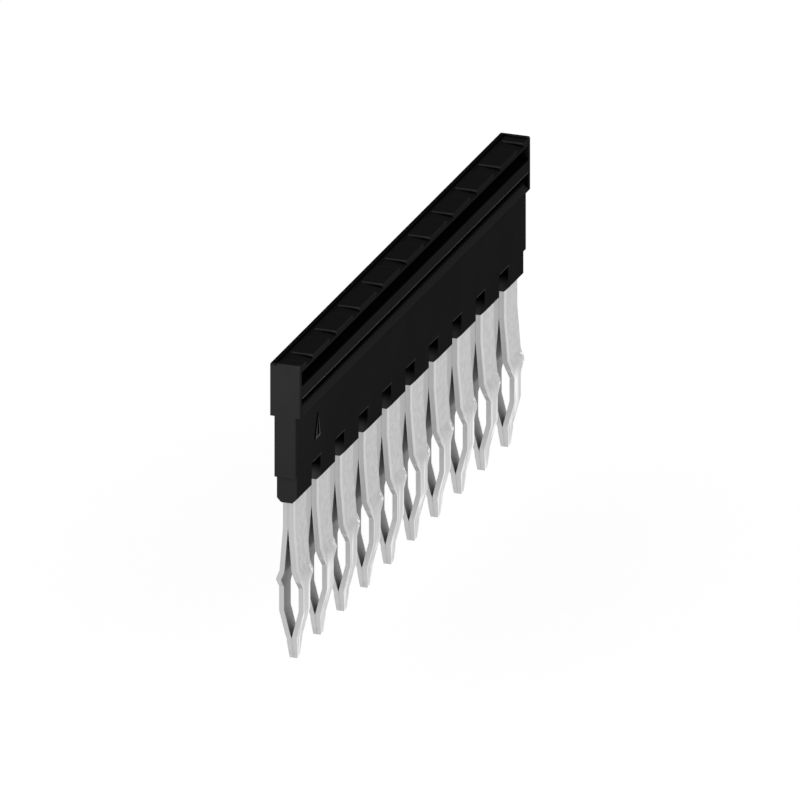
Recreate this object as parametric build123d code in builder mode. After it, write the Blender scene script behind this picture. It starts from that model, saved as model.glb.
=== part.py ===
from build123d import *
import os

# Plug-in jumper for terminal blocks: ten double-leaf pins under a slim moulded housing.
# Millimetres. X runs along the row of pins, -Y is the front, Z is up, and the origin lies on the
# underside of the housing, in the middle of the row and of its thickness.

# Row of pins
pin_count = 10
pitch = 4.2
end_margin = 1.765  # from the centre of an end pin to the end of the housing

# Housing
housing_height = 9.14
body_thickness = 1.41
head_height = 3.44
head_thickness = 1.96
head_edge_radius = 0.12
end_wall = 0.32
corner_radius = 0.1
shroud_width = 2.6
shroud_height = 1.75
shroud_thickness = 1.33
end_inset = 0.33
bottom_chamfer = 0.3

# Both sides of the head, from the top down: rail, grip groove, ledge, finger step
rail_height = 0.5
groove_height = 0.9
groove_depth = 0.7
ledge_height = 0.89
step_height = 0.78
flare_height = 0.29
ledge_radius = 0.06

# Top of the head: a shallow tray open to the front, with a sloping notch over each pin
tray_depth = 0.1
back_rim = 0.33
notch_width = 1.2
notch_back_margin = 0.19
notch_start_depth = 0.06
notch_end_depth = 0.23

# Contact combs, stamped from strip, and their fit in the housing and beside each other
strip = 0.32
pin_width = 2.4
bus_bottom = 3.4
bus_height = 2.8
moulding_gap = 0.02
leaf_gap = 0.01

# Bent line of a leaf, seen from the end of the row: depths below the housing, and how far the
# inner face of the leaf stands from the middle plane there
split_drop = 1.78
swell_drop = 4.63
swell_reach = 0.235
knee_drop = 5.2
knee_reach = 0.47
closing_drop = 7.35
tip_drop = 9.17
pin_length = 10.55
bend_radius = 0.4

# Stamped outline of a leaf, seen from the front: a wide blade, a slim leg and a tapered tip
shoulder_drop = 5.18
shoulder_height = 0.65
leg_width = 1.2
taper_drop = 8.95
tip_width = 0.4
tip_thickness = 0.25
shoulder_radius = 0.2

length = (pin_count - 1) * pitch + 2 * end_margin
row_length = (pin_count - 1) * pitch + pin_width
bus_top = bus_bottom + bus_height
ledge_bottom = housing_height - rail_height - groove_height - ledge_height


def head_profile():
    """End view of the housing: a wide head on a slimmer body, and the shrouds slimmer still."""
    body_height = housing_height - shroud_height
    with BuildSketch() as profile:
        Rectangle(shroud_thickness, housing_height, align=(Align.CENTER, Align.MIN))
        with Locations((0, shroud_height)):
            Rectangle(body_thickness, body_height, align=(Align.CENTER, Align.MIN))
        with Locations((0, housing_height - head_height)):
            Rectangle(head_thickness, head_height, align=(Align.CENTER, Align.MIN))
    return profile.sketch


def side_recess(side):
    """End view of the grip groove and of the finger step on one side of the head."""
    face = side * head_thickness / 2
    outside = side * head_thickness
    groove_top = housing_height - rail_height
    step_bottom = ledge_bottom - step_height
    with BuildSketch() as recess:
        with Locations((face, groove_top)):
            Rectangle(2 * groove_depth, groove_height, align=(Align.CENTER, Align.MAX))
        with BuildLine():
            Polyline(
                (outside, ledge_bottom),
                (side * body_thickness / 2, ledge_bottom),
                (side * body_thickness / 2, step_bottom),
                (face, step_bottom - flare_height),
                (outside, step_bottom - flare_height),
                close=True,
            )
        make_face()
    return recess.sketch


def notch_profile():
    """End view of a notch: its floor slopes down to the front."""
    floor = housing_height - tray_depth
    back = head_thickness / 2 - back_rim - notch_back_margin
    front = -head_thickness / 2
    with BuildSketch() as notch:
        with BuildLine():
            Polyline(
                (back, housing_height),
                (back, floor - notch_start_depth),
                (front, floor - notch_end_depth),
                (2 * front, floor - notch_end_depth),
                (2 * front, housing_height),
                close=True,
            )
        make_face()
    return notch.sketch


def leaf_profile():
    """End view of the front strip: straight in the housing, bent out to the leg, then in to a thin tip."""
    with BuildSketch() as leaf:
        with BuildLine():
            FilletPolyline(
                (-leaf_gap / 2, bus_top),
                (-leaf_gap / 2, -split_drop),
                (-swell_reach, -swell_drop),
                (-knee_reach, -knee_drop),
                (-knee_reach, -closing_drop),
                (-leaf_gap / 2, -tip_drop),
                (-leaf_gap / 2, -pin_length),
                radius=bend_radius,
            )
            offset(amount=strip, side=Side.RIGHT)
        make_face()
        with BuildLine():
            Polyline(
                (-leaf_gap / 2 - strip, -tip_drop - bend_radius),
                (-leaf_gap / 2 - tip_thickness, -pin_length),
                (-leaf_gap / 2 - strip, -pin_length),
                close=True,
            )
        make_face(mode=Mode.SUBTRACT)
    return leaf.sketch


def pin_outline():
    """Front view of a pin: blade, leg and tip, all on one middle line."""
    blade = pin_width / 2
    leg = leg_width / 2
    tip = tip_width / 2
    shoulder_end = -shoulder_drop - shoulder_height
    with BuildSketch() as outline:
        with BuildLine():
            Polyline(
                (-blade, bus_bottom + bus_height / 2),
                (-blade, -shoulder_drop),
                (-leg, shoulder_end),
                (-leg, -taper_drop),
                (-tip, -pin_length),
                (tip, -pin_length),
                (leg, -taper_drop),
                (leg, shoulder_end),
                (blade, -shoulder_drop),
                (blade, bus_bottom + bus_height / 2),
                close=True,
            )
        make_face()
        fillet(outline.vertices().filter_by_position(Axis.Y, shoulder_end, -shoulder_drop), shoulder_radius)
    return outline.sketch


def comb_outline():
    """Front view of the comb: a bus strip with the pins below it."""
    with BuildSketch() as outline:
        with Locations((0, bus_bottom)):
            Rectangle(row_length, bus_height, align=(Align.CENTER, Align.MIN))
        with GridLocations(pitch, 1, pin_count, 1):
            add(pin_outline())
    return outline.sketch


os.makedirs("parts", exist_ok=True)

with BuildPart() as housing:
    # Head, body and shrouds in one bar
    with BuildSketch(Plane.YZ):
        add(head_profile())
    extrude(amount=length / 2, both=True)
    chamfer(housing.edges().filter_by(Axis.X).group_by(Axis.Z)[0], bottom_chamfer)

    # Gaps that leave a shroud round each pin, and a step at both ends
    with BuildSketch(Plane.XY):
        with GridLocations(pitch, 1, pin_count - 1, 1):
            Rectangle(pitch - shroud_width, 2 * head_thickness)
        with GridLocations(length, 1, 2, 1):
            Rectangle(2 * end_inset, 2 * head_thickness)
    extrude(amount=shroud_height, mode=Mode.SUBTRACT)

    # Soft corners
    fillet(housing.edges().filter_by(Axis.X).group_by(Axis.Z)[-1], head_edge_radius)
    fillet(housing.edges().filter_by(Axis.Z), corner_radius)

    # Grip grooves and finger steps, closed by the end walls
    with BuildSketch(Plane.YZ):
        for side in (-1, 1):
            add(side_recess(side))
    extrude(amount=length / 2 - end_wall, both=True, mode=Mode.SUBTRACT)

    # Tray between the end walls and the back rim
    with BuildSketch(Plane.XY.offset(housing_height)):
        with Locations((0, head_thickness / 2 - back_rim)):
            Rectangle(length - 2 * end_wall, 2 * head_thickness, align=(Align.CENTER, Align.MAX))
    extrude(amount=-tray_depth, mode=Mode.SUBTRACT)

    # One notch over each pin
    for place in GridLocations(pitch, 1, pin_count, 1):
        with BuildSketch(Plane.YZ.offset(place.position.X)):
            add(notch_profile())
        extrude(amount=notch_width / 2, both=True, mode=Mode.SUBTRACT)

    # Lower edges of the ledges
    fillet(housing.edges().filter_by(Axis.X).filter_by_position(Axis.Z, ledge_bottom, ledge_bottom), ledge_radius)

    # Room that the moulding leaves round the two combs
    with BuildSketch(Plane.XZ):
        with Locations((0, bus_bottom - moulding_gap)):
            Rectangle(
                row_length + 2 * moulding_gap,
                bus_height + 2 * moulding_gap,
                align=(Align.CENTER, Align.MIN),
            )
        with GridLocations(pitch, 1, pin_count, 1):
            Rectangle(pin_width + 2 * moulding_gap, bus_bottom, align=(Align.CENTER, Align.MIN))
    extrude(amount=leaf_gap / 2 + strip + moulding_gap, both=True, mode=Mode.SUBTRACT)

with BuildPart() as front_comb:
    with BuildSketch(Plane.XZ):
        add(comb_outline())
    extrude(amount=head_thickness, both=True)
    with BuildSketch(Plane.YZ):
        add(leaf_profile())
    extrude(amount=length / 2, both=True, mode=Mode.INTERSECT)

# The rear comb is the same stamping, turned half round
with BuildPart() as rear_comb:
    add(front_comb.part.rotate(Axis.Z, 180))

housing.part.label = "housing"
front_comb.part.label = "front_comb"
rear_comb.part.label = "rear_comb"
export_step(housing.part, "parts/housing.step")
export_step(front_comb.part, "parts/front_comb.step")
export_step(rear_comb.part, "parts/rear_comb.step")
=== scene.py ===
"""Looks of a terminal block jumper: a slim black moulding over a row of tin-plated contact pins.

Metres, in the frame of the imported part: X along the row, -Y the front, Z up, and the underside of
the moulding at Z = 0.
"""
import math

import bmesh
import bpy
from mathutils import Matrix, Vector


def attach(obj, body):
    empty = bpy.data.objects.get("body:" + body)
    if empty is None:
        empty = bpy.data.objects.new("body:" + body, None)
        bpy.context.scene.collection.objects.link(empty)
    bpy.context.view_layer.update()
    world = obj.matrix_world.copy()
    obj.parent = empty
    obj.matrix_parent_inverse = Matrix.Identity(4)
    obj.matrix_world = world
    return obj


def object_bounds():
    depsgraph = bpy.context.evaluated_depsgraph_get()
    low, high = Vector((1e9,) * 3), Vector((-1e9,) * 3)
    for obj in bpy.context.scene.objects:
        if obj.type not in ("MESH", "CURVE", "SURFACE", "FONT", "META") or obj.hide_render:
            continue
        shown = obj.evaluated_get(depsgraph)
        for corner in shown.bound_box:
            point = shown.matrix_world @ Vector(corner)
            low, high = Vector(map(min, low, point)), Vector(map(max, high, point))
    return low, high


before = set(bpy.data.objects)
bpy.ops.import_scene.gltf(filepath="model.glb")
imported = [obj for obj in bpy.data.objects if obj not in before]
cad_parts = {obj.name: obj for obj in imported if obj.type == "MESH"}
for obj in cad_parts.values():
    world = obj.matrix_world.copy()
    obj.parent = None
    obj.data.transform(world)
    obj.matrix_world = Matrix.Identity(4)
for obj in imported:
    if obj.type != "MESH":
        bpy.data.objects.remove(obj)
cad_low, cad_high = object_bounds()

MM = 0.001


def mm(*sizes):
    """Sizes in millimetres, as metres."""
    return tuple(size * MM for size in sizes)


def grey(level):
    """A neutral colour that gives back this share of the light."""
    return (level, level, level, 1.0)


# Camera: a parallel view, as azimuth and elevation round the part
VIEW_AZIMUTH = -70.16
VIEW_ELEVATION = 21.165
VIEW_WIDTH = 48.66 * MM
VIEW_CENTRE = Vector((-19.016, -6.852, 7.131)) * MM
CAMERA_DISTANCE = 0.3
NEAR_CLIP = 0.001
FAR_CLIP = 10.0

# Light: levels are what a white surface that faces the light would show, 1 being white
SKY_LEVEL = 0.33
ROOM_LEVEL = 0.85
END_CARD = (mm(-120, -50), mm(-36, 60))
END_CARD_LEVEL = 4.35
FRONT_CARD = (mm(-5, -100), mm(110, -10))
FRONT_CARD_LEVEL = 0.57
CARD_LIFT = 0.5 * MM

# Table: its size and its gap to the pins, its paint, and the glow that lifts it to white in the view
TABLE_SIZE = 2.0
TABLE_GAP = 0.01 * MM
TABLE_WHITE = grey(0.9)
TABLE_GLOW = 0.715

# Raised mark near one end of the front, in millimetres
MARK_X = -16.9
MARK_Z = 3.93
MARK_WIDTH = 0.85
MARK_HEIGHT = 1.55
MARK_LINE = 0.18
MARK_PROUD = 0.1
MARK_SUNK = 0.02
MARK_BEVEL = 0.03
BODY_FACE_Y = -0.705

# Its lean as a share of its half width, and the angle past which an edge is rounded, in radians
MARK_LEAN = 0.2
MARK_SHARP = 1.0

# Pins along the row
PITCH = 4.2 * MM

# Edges and hollows: how wide they are, how softly edges turn, and the rays that look for them
MASK_RAYS = 8
MOULDED_RADIUS = 0.06 * MM
MOULDED_EDGE = 0.16 * MM
HOLLOW_DEPTH = 0.8 * MM
STAMPED_RADIUS = 0.04 * MM
STAMPED_EDGE = 0.2 * MM

# Each pair from here on is a soft step. First, how much of the room by an edge or in a hollow is taken
TAKEN_AT_EDGES = (0.12, 0.42)
TAKEN_IN_HOLLOWS = (0.15, 0.6)

# Heights on the moulding, from its underside up
WALL_SHADE = mm(0.3, 1.15)
CEILING_START = mm(1.6, 1.65)
WALL_TOP = mm(1.78, 1.8)
CEILING_END = mm(1.9, 1.95)
STEP_SHADE_START = mm(6.02, 6.34)
STEP_SHADE_END = mm(6.84, 6.86)
LEDGE_LINE_START = mm(6.84, 6.85)
LEDGE_LINE_END = mm(6.9, 6.93)
GROOVE_SHADE_START = mm(7.64, 7.74)
GROOVE_SHADE_END = mm(8.6, 8.64)
HEAD_EDGES = mm(8.8, 8.9)
NOTCH_HEIGHT = mm(8.9, 8.95)
RIM_HEIGHT = mm(8.95, 9.0)
NOTCH_LINE_HEIGHT = mm(8.96, 8.98)

# Depths from the middle plane of the moulding, the front being negative; the last two hold on both sides
NOTCH_LINE_FRONT = mm(-0.95, -0.8)
WALL_FRONT = mm(-0.55, -0.2)
EDGE_HIGHLIGHT_BACK = mm(0.35, 0.42)
NOTCH_BACK_START = mm(0.36, 0.42)
NOTCH_BACK_END = mm(0.48, 0.52)
NOTCH_LINE_BACK = mm(0.44, 0.46)
RIM_START = mm(0.5, 0.6)
RIM_FACE = mm(0.64, 0.7)
LEDGE_FACE = mm(0.85, 0.9)
STEP_SHADE_FACE = mm(0.9, 0.95)

# Places from the middle of the row or of the nearest pin; the first two hold on both sides
END_FACES = mm(20.2, 20.3)
GAP_START = mm(1.25, 1.32)
NOTCH_LINE_START = mm(0.585, 0.598)
NOTCH_LINE_END = mm(0.66, 0.7)
NEAR_HIGHLIGHT_START = mm(-1.3, -1.0)
NEAR_HIGHLIGHT_END = mm(-0.85, -0.7)
GLINT_START = mm(0.7, 1.0)

# Heights on the pins, below the moulding
CONTACT_FACE_TOP = mm(-6.2, -5.0)
SHOULDER_START = mm(-5.7, -5.3)
SHOULDER_END = mm(-4.9, -4.5)

# How far a face is turned to an axis: 1 faces along it, 0 lies beside it and -1 faces against it
SIDE_WALL = (0.6, 0.9)
MARK_SIDE = (0.5, 0.8)
LEVEL_EDGE = (0.1, 0.5)
NEAR_EDGE = (-0.4, -0.1)
FAR_EDGE = (0.02, 0.15)
FAR_SIDE = (0.2, 0.5)
UNDER_EDGE = (-0.6, -0.2)
SLOPE_START = (0.4, 0.6)
SLOPE_END = (0.8, 0.95)
LEVEL_TOP = (0.95, 0.99)
FLAT_OF_STRIP = (0.3, 0.6)
OUTER_FLAT = (0.0, 0.4)

# Strengths of the painted highlights and the painted shade, from 0 to 1
UPRIGHT_HIGHLIGHT = 0.25
ROW_HIGHLIGHT = 0.45
GAP_HIGHLIGHT = 0.85
MARK_HIGHLIGHT = 0.9
GROOVE_SHADE = 0.8
RIM_FOOT_SHADE = 0.7
RIM_TOP_SHADE = 0.4
NOTCH_BACK_LIGHT = 0.9
NEAR_EDGE_HIGHLIGHT_SHARE = 0.6

# Grains: how many of them go into a metre, and the steps in their noise that make patches of it
MOULDED_GRAIN = 11000
MOULDED_CLOUDS = 320
MOULDED_PATCHES = (0.3, 0.7)
STAMPED_GRAIN = 14000
STAMPED_CLOUDS = 600
STREAKS = 3200
STREAK_PATCHES = (0.45, 0.75)
SPOTS = 2600
SPOT_PATCHES = (0.35, 0.65)
GLINTS = 5200
GLINT_PATCHES = (0.48, 0.58)
ALONG_PIN = (1.0, 1.0, 0.06)
MOULDED_GRAIN_HEIGHT = 0.004 * MM
STAMPED_GRAIN_HEIGHT = 0.003 * MM

# Roughness, and what clouds, grain, edges, shearing, polish and the inner face add to it or take off
MOULDED_ROUGHNESS = 0.62
MOULDED_CLOUD_ROUGHNESS = 0.1
EDGE_POLISH = 0.15
TIN_ROUGHNESS = 0.4
TIN_CLOUD_ROUGHNESS = 0.08
TIN_GRAIN_ROUGHNESS = 0.06
SHEARED_ROUGHNESS = 0.06
CONTACT_POLISH = 0.06
INNER_ROUGHNESS = 0.15

# Black of the moulding, and the greys of its painted light, painted shade and painted highlights
DARK_PATCH = (0.0198, 0.0198, 0.0203, 1.0)
LIGHT_PATCH = (0.0218, 0.0218, 0.0223, 1.0)
# Painted light on the gap walls and slopes, and a painted tone on level tops
PAINTED_WALL_LIGHT_FRONT = grey(0.031)
PAINTED_WALL_LIGHT_DEEP = grey(0.045)
PAINTED_SLOPE_LIGHT = grey(0.0415)
PAINTED_TOP_TONE = grey(0.021)
SHADE_BLACK = grey(0.0015)
# Painted highlights on edges, on the mark, along the ledges and on the notches
UNDER_EDGE_HIGHLIGHT = grey(0.12)
EDGE_HIGHLIGHT_GREY = grey(0.07)
MARK_HIGHLIGHT_GREY = grey(0.15)
LEDGE_HIGHLIGHT_GREY = grey(0.19)
NOTCH_HIGHLIGHT_GREY = grey(0.09)

# Tin, as the colour of a metal, with painted shade on the inner face and painted highlights
SHADED_INNER_TIN = grey(0.37)
BLADE_TIN = grey(0.55)
SPOT_TIN = grey(0.61)
NEAR_EDGE_HIGHLIGHT_TIN = grey(0.75)
GLINT_TIN = grey(1.0)
CONTACT_TIN = grey(0.63)
STREAK_TIN = grey(0.98)
SHEARED_TIN = grey(0.585)


class Signal:
    """A shader socket that can stand in sums, such as 1 - mask."""

    def __init__(self, finish, socket):
        self.finish = finish
        self.socket = socket

    def __add__(self, other):
        return self.finish.math("ADD", self, other)

    def __radd__(self, other):
        return self.finish.math("ADD", other, self)

    def __sub__(self, other):
        return self.finish.math("SUBTRACT", self, other)

    def __rsub__(self, other):
        return self.finish.math("SUBTRACT", other, self)

    def __mul__(self, other):
        return self.finish.math("MULTIPLY", self, other)

    def __rmul__(self, other):
        return self.finish.math("MULTIPLY", other, self)


class Finish:
    """The node tree of one finish, or of the room round the part."""

    def __init__(self, holder):
        self.holder = holder
        self.holder.use_nodes = True
        self.tree = self.holder.node_tree
        self.tree.nodes.clear()

    def node(self, kind, settings, sockets, output=0):
        """Adds a node, makes its settings, fills or links its sockets, and returns one of its outputs."""
        made = self.tree.nodes.new("ShaderNode" + kind)
        for name, value in settings.items():
            setattr(made, name, value)
        for name, value in sockets.items():
            if isinstance(value, Signal):
                self.tree.links.new(value.socket, made.inputs[name])
            else:
                made.inputs[name].default_value = value
        return Signal(self, made.outputs[output]) if made.outputs else None

    def close(self, kind, shader):
        """Closes the tree with its output node, and returns what the tree belongs to."""
        self.node(kind, {}, {"Surface": shader})
        return self.holder

    def math(self, operation, *values):
        """The result of one Math node."""
        return self.node("Math", {"operation": operation}, dict(enumerate(values)))

    def most(self, first, *others):
        """The largest of some values."""
        for other in others:
            first = self.math("MAXIMUM", first, other)
        return first

    def size_of(self, value):
        """The value without its sign."""
        return self.math("ABSOLUTE", value)

    def band(self, value, step, start=0.0, end=1.0):
        """Goes softly from start to end while the value goes through a step."""
        sockets = {"Value": value, "From Min": step[0], "From Max": step[1], "To Min": start, "To Max": end}
        return self.node("MapRange", {"interpolation_type": "SMOOTHSTEP"}, sockets)

    def before(self, value, step):
        """1 before a soft step, 0 after it."""
        return 1 - self.band(value, step)

    def between(self, value, rise, fall):
        """1 after one soft step and before another, 0 outside them."""
        return self.band(value, rise) * self.before(value, fall)

    def blend(self, factor, first, second):
        """A colour between two colours; the sockets of a Mix node go by number."""
        return self.node("Mix", {"data_type": "RGBA"}, {0: factor, 6: first, 7: second}, output=2)

    def place(self):
        """Object coordinates, in metres."""
        return self.node("TexCoord", {}, {}, output="Object")

    def facing(self):
        """The direction that a face looks in, with sharp edges left sharp."""
        return self.node("NewGeometry", {}, {}, output="True Normal")

    def axis(self, vector, name):
        """One coordinate of a vector."""
        return self.node("SeparateXYZ", {}, {"Vector": vector}, output=name)

    def across_pin(self, place):
        """How far a place lies from the middle of the nearest pin, along the row."""
        return self.math("FRACT", self.axis(place, "X") * (1 / PITCH)) * PITCH - PITCH / 2

    def noise(self, place, grains, detail):
        """Grey noise from 0 to 1, with so many grains in a metre."""
        return self.node("TexNoise", {}, {"Vector": place, "Scale": grains, "Detail": detail})

    def streaks(self, place, grains, detail):
        """Grey noise drawn out along the pins."""
        drawn = self.node("Mapping", {}, {"Vector": place, "Scale": ALONG_PIN})
        return self.noise(drawn, grains, detail)

    def taken(self, distance, inside):
        """How much of the room within a distance is taken, on the outer or the inner side of the face."""
        settings = {"samples": MASK_RAYS, "only_local": True, "inside": inside}
        return 1 - self.node("AmbientOcclusion", settings, {"Distance": distance}, output="AO")

    def outer_edges(self, width):
        """0 on flat faces, rising to 1 along the outward corners."""
        return self.band(self.taken(width, True), TAKEN_AT_EDGES)

    def hollows(self, depth):
        """0 in the open, rising to 1 deep in the grooves and gaps."""
        return self.band(self.taken(depth, False), TAKEN_IN_HOLLOWS)

    def rounded(self, radius):
        """A normal that turns softly round the edges."""
        return self.node("Bevel", {"samples": MASK_RAYS}, {"Radius": radius})

    def bump(self, height, distance, normal):
        """A normal that follows a height in units of distance."""
        return self.node("Bump", {}, {"Height": height, "Distance": distance, "Normal": normal})


def inner_row(finish, place):
    """1 between the two end faces of the moulding, 0 on them."""
    return finish.before(finish.size_of(finish.axis(place, "X")), END_FACES)


def gap_walls(finish, place, facing):
    """1 on the side walls of the gaps between the shrouds."""
    walls = finish.band(finish.size_of(finish.axis(facing, "X")), SIDE_WALL)
    return walls * inner_row(finish, place) * finish.before(finish.axis(place, "Z"), WALL_TOP)


def edge_highlights(finish, place, soft):
    """Where the moulding's edges get painted highlights: the edges of the head, and those round the gaps
    below.
    """
    height = finish.axis(place, "Z")
    along = finish.axis(soft, "X")
    level = finish.band(finish.size_of(finish.axis(soft, "Z")), LEVEL_EDGE, UPRIGHT_HIGHLIGHT)
    front = finish.before(finish.axis(place, "Y"), EDGE_HIGHLIGHT_BACK) * finish.band(along, NEAR_EDGE, 1.0, ROW_HIGHLIGHT)
    head = finish.band(height, HEAD_EDGES) * level * finish.before(along, FAR_EDGE) * front
    below = finish.before(height, CEILING_END)
    gap = finish.band(finish.size_of(finish.across_pin(place)), GAP_START)
    ceiling = finish.band(height, CEILING_START) * below * gap
    far_side = finish.band(along, FAR_SIDE) * below * GAP_HIGHLIGHT
    return finish.most(head, finish.most(ceiling, far_side) * inner_row(finish, place))


def painted_ledge_highlight(finish, place):
    """A painted highlight along the lower edge of each ledge."""
    line = finish.between(finish.axis(place, "Z"), LEDGE_LINE_START, LEDGE_LINE_END)
    return line * finish.band(finish.size_of(finish.axis(place, "Y")), LEDGE_FACE) * inner_row(finish, place)


def painted_notch_highlight(finish, place):
    """A painted highlight along the upper edge of one side wall of each notch on top, the one nearer the far
    end.
    """
    line = finish.band(finish.axis(place, "Z"), NOTCH_LINE_HEIGHT)
    line = line * finish.between(finish.axis(place, "Y"), NOTCH_LINE_FRONT, NOTCH_LINE_BACK)
    return line * finish.between(finish.across_pin(place), NOTCH_LINE_START, NOTCH_LINE_END)


def shaded_places(finish, place, facing):
    """Where little light comes: in the grooves, under the ledges, high in the gaps, along the back rim."""
    height = finish.axis(place, "Z")
    back = finish.axis(place, "Y")
    row = inner_row(finish, place)
    under_ledge = finish.between(height, STEP_SHADE_START, STEP_SHADE_END)
    under_ledge = under_ledge * finish.before(finish.size_of(back), STEP_SHADE_FACE) * row
    groove = finish.between(height, GROOVE_SHADE_START, GROOVE_SHADE_END) * row * GROOVE_SHADE
    walls = gap_walls(finish, place, facing) * finish.band(height, WALL_SHADE)
    rim = finish.band(back, RIM_START) * finish.band(back, RIM_FACE, RIM_FOOT_SHADE, RIM_TOP_SHADE)
    rim = rim * finish.band(height, RIM_HEIGHT)
    return finish.most(under_ledge, walls, groove, rim)


def hollow_places(finish, place):
    """The hollows of the moulding, but hardly the back walls of its notches, which stand in the light."""
    notch_back = finish.between(finish.axis(place, "Y"), NOTCH_BACK_START, NOTCH_BACK_END)
    notch_back = notch_back * finish.band(finish.axis(place, "Z"), NOTCH_HEIGHT)
    return finish.hollows(HOLLOW_DEPTH) * (1 - NOTCH_BACK_LIGHT * notch_back)


def black_moulding(name, raised=False):
    """Black moulded polyamide: a matt skin, with painted shade in its hollows, painted light on its gap
    walls and slopes, a painted tone on its level tops, and painted highlights on its edges.

    A raised mark gets a painted highlight over its front and painted shade on its sides."""
    finish = Finish(bpy.data.materials.new(name))
    place = finish.place()
    facing = finish.facing()
    soft = finish.rounded(MOULDED_RADIUS)
    cloud = finish.noise(place, MOULDED_CLOUDS, detail=3)
    base = finish.blend(finish.band(cloud, MOULDED_PATCHES), DARK_PATCH, LIGHT_PATCH)
    if raised:
        # Painted shade on the mark's sides, and a painted highlight over its front
        shade = finish.band(finish.size_of(finish.axis(facing, "X")), MARK_SIDE)
        edge = (1 - shade) * MARK_HIGHLIGHT
        highlight = MARK_HIGHLIGHT_GREY
    else:
        shade = finish.most(hollow_places(finish, place), shaded_places(finish, place, facing))
        # Painted highlights along the outward edges, lighter where they face down
        edge = finish.outer_edges(MOULDED_EDGE) * edge_highlights(finish, place, soft)
        highlight = finish.blend(finish.band(finish.axis(soft, "Z"), UNDER_EDGE), UNDER_EDGE_HIGHLIGHT, EDGE_HIGHLIGHT_GREY)
        # Painted light: the side walls of the gaps are lighter, and more so further back
        wall_light = finish.blend(finish.band(finish.axis(place, "Y"), WALL_FRONT), PAINTED_WALL_LIGHT_FRONT, PAINTED_WALL_LIGHT_DEEP)
        base = finish.blend(gap_walls(finish, place, facing), base, wall_light)
    up = finish.axis(facing, "Z")
    # Painted light on faces tilted up, and a painted tone of their own on level tops
    colour = finish.blend(finish.between(up, SLOPE_START, SLOPE_END), base, PAINTED_SLOPE_LIGHT)
    colour = finish.blend(finish.band(up, LEVEL_TOP), colour, PAINTED_TOP_TONE)
    colour = finish.blend(shade, colour, SHADE_BLACK)
    colour = finish.blend(edge, colour, highlight)
    if not raised:
        # Painted highlights along the lower edges of the ledges and the upper edges of the notches
        colour = finish.blend(painted_ledge_highlight(finish, place), colour, LEDGE_HIGHLIGHT_GREY)
        colour = finish.blend(painted_notch_highlight(finish, place), colour, NOTCH_HIGHLIGHT_GREY)
    skin = finish.noise(place, MOULDED_GRAIN, detail=3)
    shader = finish.node("BsdfPrincipled", {}, {
        "Base Color": colour,
        "Roughness": MOULDED_ROUGHNESS + MOULDED_CLOUD_ROUGHNESS * cloud - EDGE_POLISH * edge,
        "Normal": finish.bump(skin, MOULDED_GRAIN_HEIGHT, soft),
        "Specular IOR Level": 0.0,
    })
    return finish.close("OutputMaterial", shader)


def tinned_contact(name, outward):
    """Satin tin plating on stamped strip, with painted shade on its inner face and painted highlights on its
    outer face, lighter and smoother on the outer face of its lower legs.

    Outward is the side, along Y, of the outer face of the strip."""
    finish = Finish(bpy.data.materials.new(name))
    place = finish.place()
    height = finish.axis(place, "Z")
    across = finish.across_pin(place)
    front = finish.axis(finish.facing(), "Y")
    sheared = finish.before(finish.size_of(front), FLAT_OF_STRIP)
    outer = finish.band(outward * front, OUTER_FLAT)
    contact_face = outer * finish.before(height, CONTACT_FACE_TOP)

    spots = finish.band(finish.noise(place, SPOTS, detail=2), SPOT_PATCHES)
    blade = finish.blend(spots, BLADE_TIN, SPOT_TIN)
    # Painted highlight along the near edge of the outer face; the inner face gets painted shade, a darker
    # tin
    near_highlight = finish.between(across, NEAR_HIGHLIGHT_START, NEAR_HIGHLIGHT_END) * NEAR_EDGE_HIGHLIGHT_SHARE
    colour = finish.blend(outer, SHADED_INNER_TIN, finish.blend(near_highlight, blade, NEAR_EDGE_HIGHLIGHT_TIN))
    # Painted glints on the outer face, at the far corners of the shoulders
    shoulder = finish.between(height, SHOULDER_START, SHOULDER_END) * finish.band(across, GLINT_START)
    glint = finish.band(finish.noise(place, GLINTS, detail=1), GLINT_PATCHES) * shoulder
    colour = finish.blend(glint * outer, colour, GLINT_TIN)
    # On the lower legs the outer face is a lighter tin, with painted highlights in streaks and along its
    # edges
    streak = finish.band(finish.streaks(place, STREAKS, detail=1), STREAK_PATCHES)
    bright = finish.most(streak, finish.outer_edges(STAMPED_EDGE))
    colour = finish.blend(contact_face, colour, finish.blend(bright, CONTACT_TIN, STREAK_TIN))
    colour = finish.blend(sheared, colour, SHEARED_TIN)

    cloud = finish.noise(place, STAMPED_CLOUDS, detail=3)
    grain = finish.streaks(place, STAMPED_GRAIN, detail=3)
    rough = TIN_ROUGHNESS + TIN_CLOUD_ROUGHNESS * cloud + TIN_GRAIN_ROUGHNESS * grain
    rough = rough + SHEARED_ROUGHNESS * sheared - CONTACT_POLISH * contact_face
    shader = finish.node("BsdfPrincipled", {}, {
        "Base Color": colour,
        "Metallic": 1.0,
        "Roughness": rough + INNER_ROUGHNESS * (1 - outer) * (1 - sheared),
        "Normal": finish.bump(grain, STAMPED_GRAIN_HEIGHT, finish.rounded(STAMPED_RADIUS)),
    })
    return finish.close("OutputMaterial", shader)


def table_top():
    """A white table that still takes the part's shadow."""
    finish = Finish(bpy.data.materials.new("table_top"))
    camera = finish.node("LightPath", {}, {}, output="Is Camera Ray")
    glossy = finish.node("LightPath", {}, {}, output="Is Glossy Ray")
    matte = finish.node("BsdfDiffuse", {}, {"Color": TABLE_WHITE})
    strength = finish.most(camera, glossy) * TABLE_GLOW
    glow = finish.node("Emission", {}, {"Color": grey(1.0), "Strength": strength})
    return finish.close("OutputMaterial", finish.node("AddShader", {}, {0: matte, 1: glow}))


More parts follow.
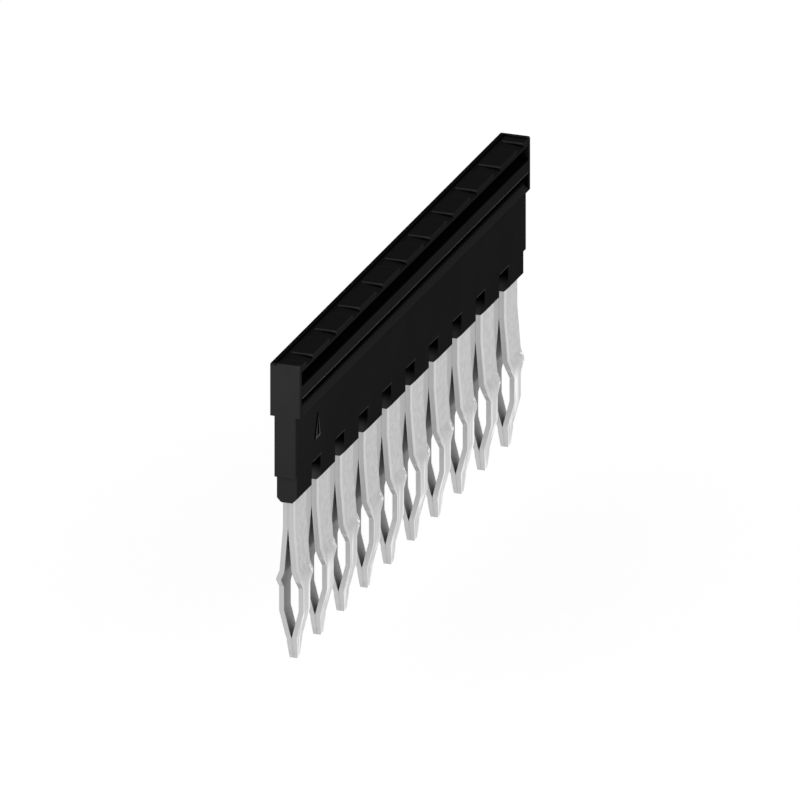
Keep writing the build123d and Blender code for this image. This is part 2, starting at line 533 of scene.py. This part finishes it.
def dress(node, material):
    """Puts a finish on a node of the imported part."""
    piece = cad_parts[node]
    piece.data.materials.clear()
    piece.data.materials.append(material)


def object_from(name, shape, material):
    """Turns a finished bmesh into an object of the scene."""
    mesh = bpy.data.meshes.new(name)
    shape.to_mesh(mesh)
    shape.free()
    mesh.materials.append(material)
    made = bpy.data.objects.new(name, mesh)
    bpy.context.scene.collection.objects.link(made)
    return made


def piece_from(name, shape, material):
    """Makes a finished bmesh a piece of the part, on its one body."""
    piece = object_from(name, shape, material)
    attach(piece, "root")


def raised_mark(material):
    """A small open triangle moulded on the front near one end, made in millimetres and then scaled."""
    shape = bmesh.new()
    half = MARK_WIDTH / 2
    corners = [(-half, 0), (half, 0), (half * MARK_LEAN, MARK_HEIGHT)]
    back = BODY_FACE_Y + MARK_SUNK
    ring = [shape.verts.new((MARK_X + x, back, MARK_Z - MARK_HEIGHT / 2 + z)) for x, z in corners]
    face = shape.faces.new(ring)
    shape.normal_update()
    bmesh.ops.inset_region(shape, faces=[face], use_boundary=True, thickness=MARK_LINE, depth=0)
    bmesh.ops.delete(shape, geom=[face], context="FACES_ONLY")
    grown = bmesh.ops.extrude_face_region(shape, geom=list(shape.faces))["geom"]
    front = [part for part in grown if isinstance(part, bmesh.types.BMVert)]
    bmesh.ops.translate(shape, verts=front, vec=(0, -MARK_PROUD - MARK_SUNK, 0))
    bmesh.ops.recalc_face_normals(shape, faces=shape.faces)
    rim = [edge for edge in shape.edges if all(vert in front for vert in edge.verts)]
    rim = [edge for edge in rim if edge.calc_face_angle() > MARK_SHARP]
    bmesh.ops.bevel(shape, geom=rim, offset=MARK_BEVEL, segments=2, profile=0.5, affect="EDGES", material=-1)
    bmesh.ops.scale(shape, verts=shape.verts, vec=(MM, MM, MM))
    piece_from("raised_mark", shape, material)


def stage_table():
    """The table, just under the tips of the pins."""
    shape = bmesh.new()
    bmesh.ops.create_grid(shape, x_segments=1, y_segments=1, size=TABLE_SIZE / 2)
    bmesh.ops.translate(shape, verts=shape.verts, vec=(0, 0, cad_low.z - TABLE_GAP))
    table = object_from("table", shape, table_top())


def bounce_card(name, corners, level):
    """A card that lies just over the table between two corners and throws its light up.

    Neither the camera nor a reflection sees it."""
    low, high = corners
    lamp = bpy.data.lights.new(name, "AREA")
    lamp.shape = "RECTANGLE"
    lamp.size = high[0] - low[0]
    lamp.size_y = high[1] - low[1]
    lamp.energy = level * math.pi * lamp.size * lamp.size_y
    holder = bpy.data.objects.new(name, lamp)
    holder.location = ((low[0] + high[0]) / 2, (low[1] + high[1]) / 2, cad_low.z + CARD_LIFT)
    holder.rotation_euler = (math.pi, 0, 0)
    holder.visible_camera = False
    holder.visible_glossy = False
    bpy.context.scene.collection.objects.link(holder)


def plain_sky():
    """An even room: dim as light, bright in reflections, white to the camera."""
    room = Finish(bpy.data.worlds.new("room"))
    glossy = room.node("LightPath", {}, {}, output="Is Glossy Ray")
    camera = room.node("LightPath", {}, {}, output="Is Camera Ray")
    lit = room.node("Mix", {}, {0: glossy, 2: SKY_LEVEL, 3: ROOM_LEVEL})
    seen = room.node("Mix", {}, {0: camera, 2: lit, 3: 1.0})
    background = room.node("Background", {}, {"Color": grey(1.0), "Strength": seen})
    bpy.context.scene.world = room.close("OutputWorld", background)


def toward(azimuth, elevation):
    """The direction from the part to something at that azimuth and elevation."""
    a, e = math.radians(azimuth), math.radians(elevation)
    return Vector((math.sin(a) * math.cos(e), -math.cos(a) * math.cos(e), math.sin(e)))


def photo_camera():
    """A parallel camera at the photograph's angle."""
    data = bpy.data.cameras.new("camera")
    data.type = "ORTHO"
    data.ortho_scale = VIEW_WIDTH
    data.clip_start = NEAR_CLIP
    data.clip_end = FAR_CLIP
    camera = bpy.data.objects.new("camera", data)
    direction = toward(VIEW_AZIMUTH, VIEW_ELEVATION)
    camera.location = VIEW_CENTRE + direction * CAMERA_DISTANCE
    camera.rotation_mode = "QUATERNION"
    camera.rotation_quaternion = direction.to_track_quat("Z", "Y")
    bpy.context.scene.collection.objects.link(camera)
    bpy.context.scene.camera = camera


dress("housing", black_moulding("black_moulding"))
dress("front_comb", tinned_contact("front_contact", -1))
dress("rear_comb", tinned_contact("rear_contact", 1))
raised_mark(black_moulding("mark_moulding", raised=True))

stage_table()
bounce_card("end_card", END_CARD, END_CARD_LEVEL)
bounce_card("front_card", FRONT_CARD, FRONT_CARD_LEVEL)
plain_sky()
photo_camera()
bpy.context.scene.view_settings.view_transform = "Standard"
